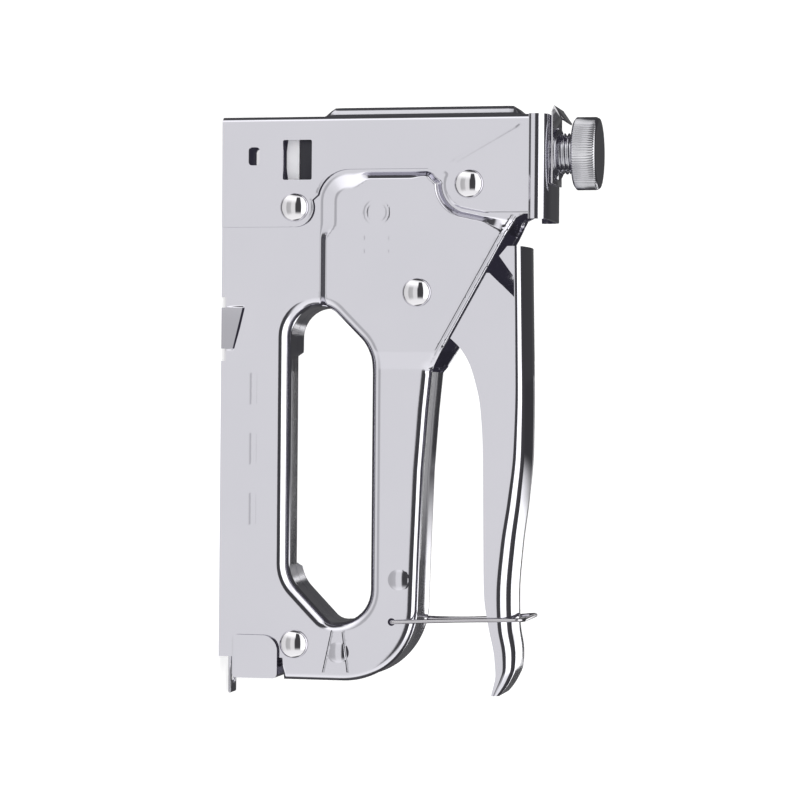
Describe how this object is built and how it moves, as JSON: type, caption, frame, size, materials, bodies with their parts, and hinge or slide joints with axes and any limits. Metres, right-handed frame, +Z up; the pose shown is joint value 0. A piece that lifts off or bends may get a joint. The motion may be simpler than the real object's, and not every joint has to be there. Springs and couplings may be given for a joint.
{
  "type": "staple gun",
  "caption": "Hand-squeezed all-metal staple gun with a power screw on the nose, a pull-out magazine and a wire loop that locks the lever closed.",
  "frame": {"origin": "centre of the gun's bounding box in x and y, on the plane of its base: the lower edges of the shells and of the magazine channel", "axes": "+Z up from the base to the power knob and the lever, -X towards the nose that drives the staples, +X towards the tail, Y across the gun, which is symmetric about y = 0 but for its inner return spring"},
  "size_m": [0.1764, 0.0296, 0.1126],
  "materials": {
    "chrome": "bright chrome plate on pressed steel",
    "satin_chrome": "satin plated steel",
    "black_steel": "blackened hardened steel",
    "spring_steel": "bright drawn wire and strip",
    "zinc": "zinc plated steel",
    "nylon": "natural nylon"
  },
  "bodies": {
    "frame": {"near_shell": "chrome", "far_shell": "chrome", "nose_cover": "chrome", "top_cap": "chrome", "adjuster_bush": "zinc", "detent_spring": "spring_steel", "pivot_rivet": "chrome", "lower_nose_rivet": "chrome", "upper_nose_rivet": "chrome", "tail_rivet": "chrome", "nose_spacer": "zinc", "tail_spacer": "zinc", "buffer": "nylon", "nose_block": "zinc", "main_spring": "spring_steel", "return_spring": "spring_steel", "magazine_channel": "satin_chrome", "tail_block": "zinc", "latch_spring": "spring_steel"},
    "handle": {"squeeze_handle": "chrome", "lift_arm": "black_steel", "arm_pin": "black_steel"},
    "hammer": {"hammer": "black_steel", "driver_blade": "spring_steel"},
    "seat": {"spring_seat": "zinc"},
    "knob": {"adjuster_screw": "zinc", "adjuster_knob": "zinc"},
    "magazine": {"magazine_rail": "zinc", "feed_rod": "spring_steel", "feed_spring": "spring_steel", "pull_tab": "chrome", "staple_strip": "zinc"},
    "follower": {"staple_follower": "zinc"},
    "latch": {"magazine_latch": "chrome"},
    "bail": {"lock_bail": "spring_steel"}
  },
  "joints": [
    {"name": "handle_squeeze", "type": "hinge", "parent": "frame", "child": "handle", "pos_m": [-0.0328, 0, 0.0603], "axis": [0, 1, 0], "range_deg": [0, 11], "stiffness_Nm_per_rad": 8, "springref_deg": -25.21, "deforming": ["return_spring"]},
    {"name": "hammer_lift", "type": "slide", "parent": "frame", "child": "hammer", "axis": [0, 0, 1], "range_m": [0, 0.0082], "deforming": ["main_spring"]},
    {"name": "seat_travel", "type": "slide", "parent": "frame", "child": "seat", "axis": [0, 0, 1], "range_m": [-0.0016, 0.0035], "deforming": ["main_spring"]},
    {"name": "knob_turn", "type": "hinge", "parent": "seat", "child": "knob", "pos_m": [-0.0743, 0, 0.1051], "axis": [0, 0, 1], "range_deg": [-330, 720]},
    {"name": "magazine_slide", "type": "slide", "parent": "frame", "child": "magazine", "axis": [1, 0, 0], "range_m": [0, 0.09]},
    {"name": "follower_slide", "type": "slide", "parent": "magazine", "child": "follower", "axis": [1, 0, 0], "range_m": [0, 0.08], "stiffness_N_per_m": 60, "springref_m": -0.08, "deforming": ["feed_spring"]},
    {"name": "latch_press", "type": "slide", "parent": "frame", "child": "latch", "axis": [-1, 0, 0], "range_m": [0, 0.003], "stiffness_N_per_m": 600, "springref_m": -0.004, "deforming": ["latch_spring"]},
    {"name": "bail_swing", "type": "hinge", "parent": "frame", "child": "bail", "pos_m": [0.0648, 0, 0.0531], "axis": [0, 1, 0], "range_deg": [0, 130]}
  ],
  "couplings": [
    {"joint": "hammer_lift", "follows": "handle_squeeze", "m_per_rad": 0.041},
    {"joint": "knob_turn", "follows": "seat_travel", "rad_per_m": 3590}
  ]
}
